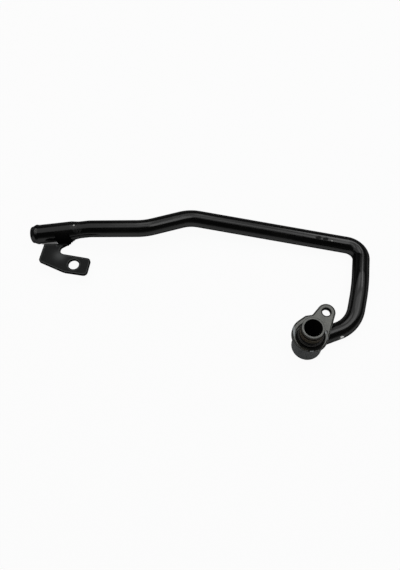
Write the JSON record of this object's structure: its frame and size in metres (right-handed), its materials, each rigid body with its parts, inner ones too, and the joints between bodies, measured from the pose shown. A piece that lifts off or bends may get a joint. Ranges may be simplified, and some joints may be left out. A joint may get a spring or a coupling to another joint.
{
  "type": "coolant pipe",
  "caption": "Bent steel coolant pipe with a beaded hose end, a welded mounting bracket and a blind plug-in fitting with a sealed spigot and a bolt ear.",
  "frame": {"origin": "on the axis of the spigot, in the plane of the flange's seat", "axes": "+Z along the spigot away from the flange and up from the bench, +X from the hose end towards the fitting, +Y away from the viewer"},
  "size_m": [0.3229, 0.1474, 0.0435],
  "materials": {
    "tube_paint": "glossy black paint",
    "fitting_metal": "dull plated steel",
    "ring_rubber": "matt rubber",
    "bracket_paint": "satin black paint"
  },
  "bodies": {
    "root": {"coolant_tube": "tube_paint", "connector_fitting": "fitting_metal", "spigot_ring": "ring_rubber", "mounting_bracket": "bracket_paint"}
  },
  "joints": []
}
